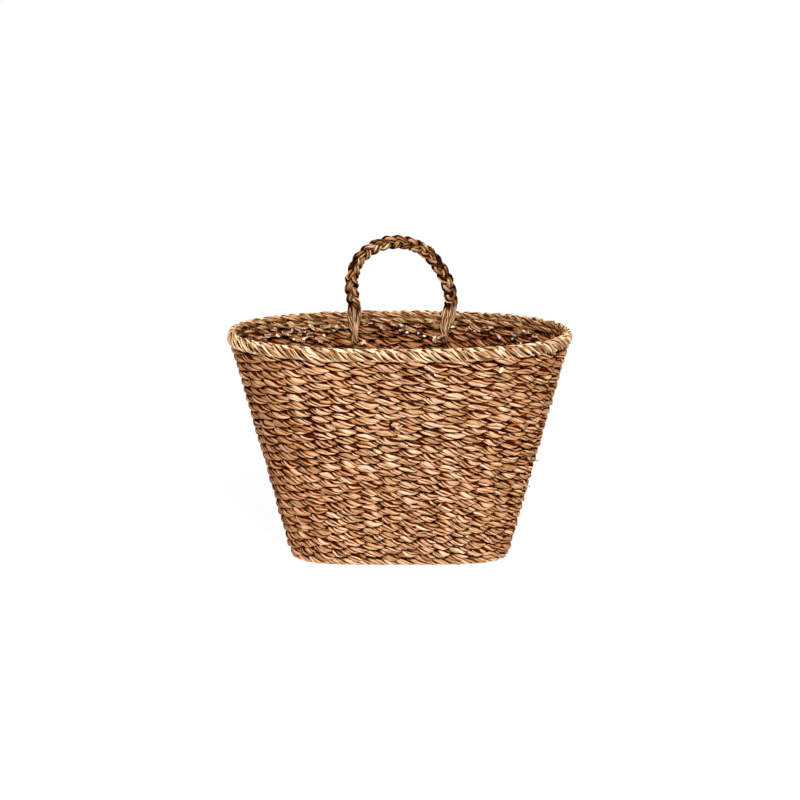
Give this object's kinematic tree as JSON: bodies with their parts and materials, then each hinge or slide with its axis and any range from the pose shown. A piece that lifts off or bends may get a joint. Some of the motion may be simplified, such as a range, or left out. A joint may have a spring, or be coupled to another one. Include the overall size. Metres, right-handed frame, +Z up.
{
  "type": "woven magazine basket",
  "caption": "Oval flared basket of twisted seagrass cord woven over stakes, with a thick rope border, a woven base and a plaited handle on its back wall.",
  "frame": {"origin": "middle of the footprint, on the surface that the basket stands on", "axes": "+Z up, +X along the long side, -Y towards the front, the handle is on the back wall at +Y"},
  "size_m": [0.3978, 0.199, 0.3566],
  "materials": {
    "wall_cord": "dried seagrass cord, matt with a slight waxy sheen",
    "base_cord": "dried seagrass cord, matt",
    "stake": "plain cane, matt",
    "foot_cord": "dried seagrass cord, matt, rubbed flat below",
    "border_rope": "thick dried seagrass rope, paler than the wall, slight sheen on top",
    "handle_plait": "plaited dried seagrass, slight sheen"
  },
  "bodies": {
    "basket": {"foot_border": "foot_cord", "cross_stake_01": "stake", "cross_stake_02": "stake", "cross_stake_03": "stake", "cross_stake_04": "stake", "cross_stake_05": "stake", "cross_stake_06": "stake", "cross_stake_07": "stake", "cross_stake_08": "stake", "cross_stake_09": "stake", "cross_stake_10": "stake", "cross_stake_11": "stake", "cross_stake_12": "stake", "length_stake_01": "stake", "length_stake_02": "stake", "length_stake_03": "stake", "length_stake_04": "stake", "length_stake_05": "stake", "base_cord_front_01": "base_cord", "base_cord_front_02": "base_cord", "base_cord_front_03": "base_cord", "base_cord_front_04": "base_cord", "base_cord_front_05": "base_cord", "base_cord_front_06": "base_cord", "base_cord_back_01": "base_cord", "base_cord_back_02": "base_cord", "base_cord_back_03": "base_cord", "base_cord_back_04": "base_cord", "base_cord_back_05": "base_cord", "base_cord_back_06": "base_cord", "course_01": "wall_cord", "course_02": "wall_cord", "course_03": "wall_cord", "course_04": "wall_cord", "course_05": "wall_cord", "course_06": "wall_cord", "course_07": "wall_cord", "course_08": "wall_cord", "course_09": "wall_cord", "course_10": "wall_cord", "course_11": "wall_cord", "course_12": "wall_cord", "course_13": "wall_cord", "course_14": "wall_cord", "course_15": "wall_cord", "course_16": "wall_cord", "course_17": "wall_cord", "course_18": "wall_cord", "course_19": "wall_cord", "course_20": "wall_cord", "course_21": "wall_cord", "course_22": "wall_cord", "course_23": "wall_cord", "course_24": "wall_cord", "course_25": "wall_cord", "rim_border": "border_rope"},
    "handle": {"handle_strand_a": "handle_plait", "handle_strand_b": "handle_plait", "handle_strand_c": "handle_plait"}
  },
  "joints": [
    {"name": "handle_tip", "type": "hinge", "parent": "basket", "child": "handle", "pos_m": [0, 0.08709, 0.23654], "axis": [1, 0, 0], "range_deg": [0, 90]}
  ]
}
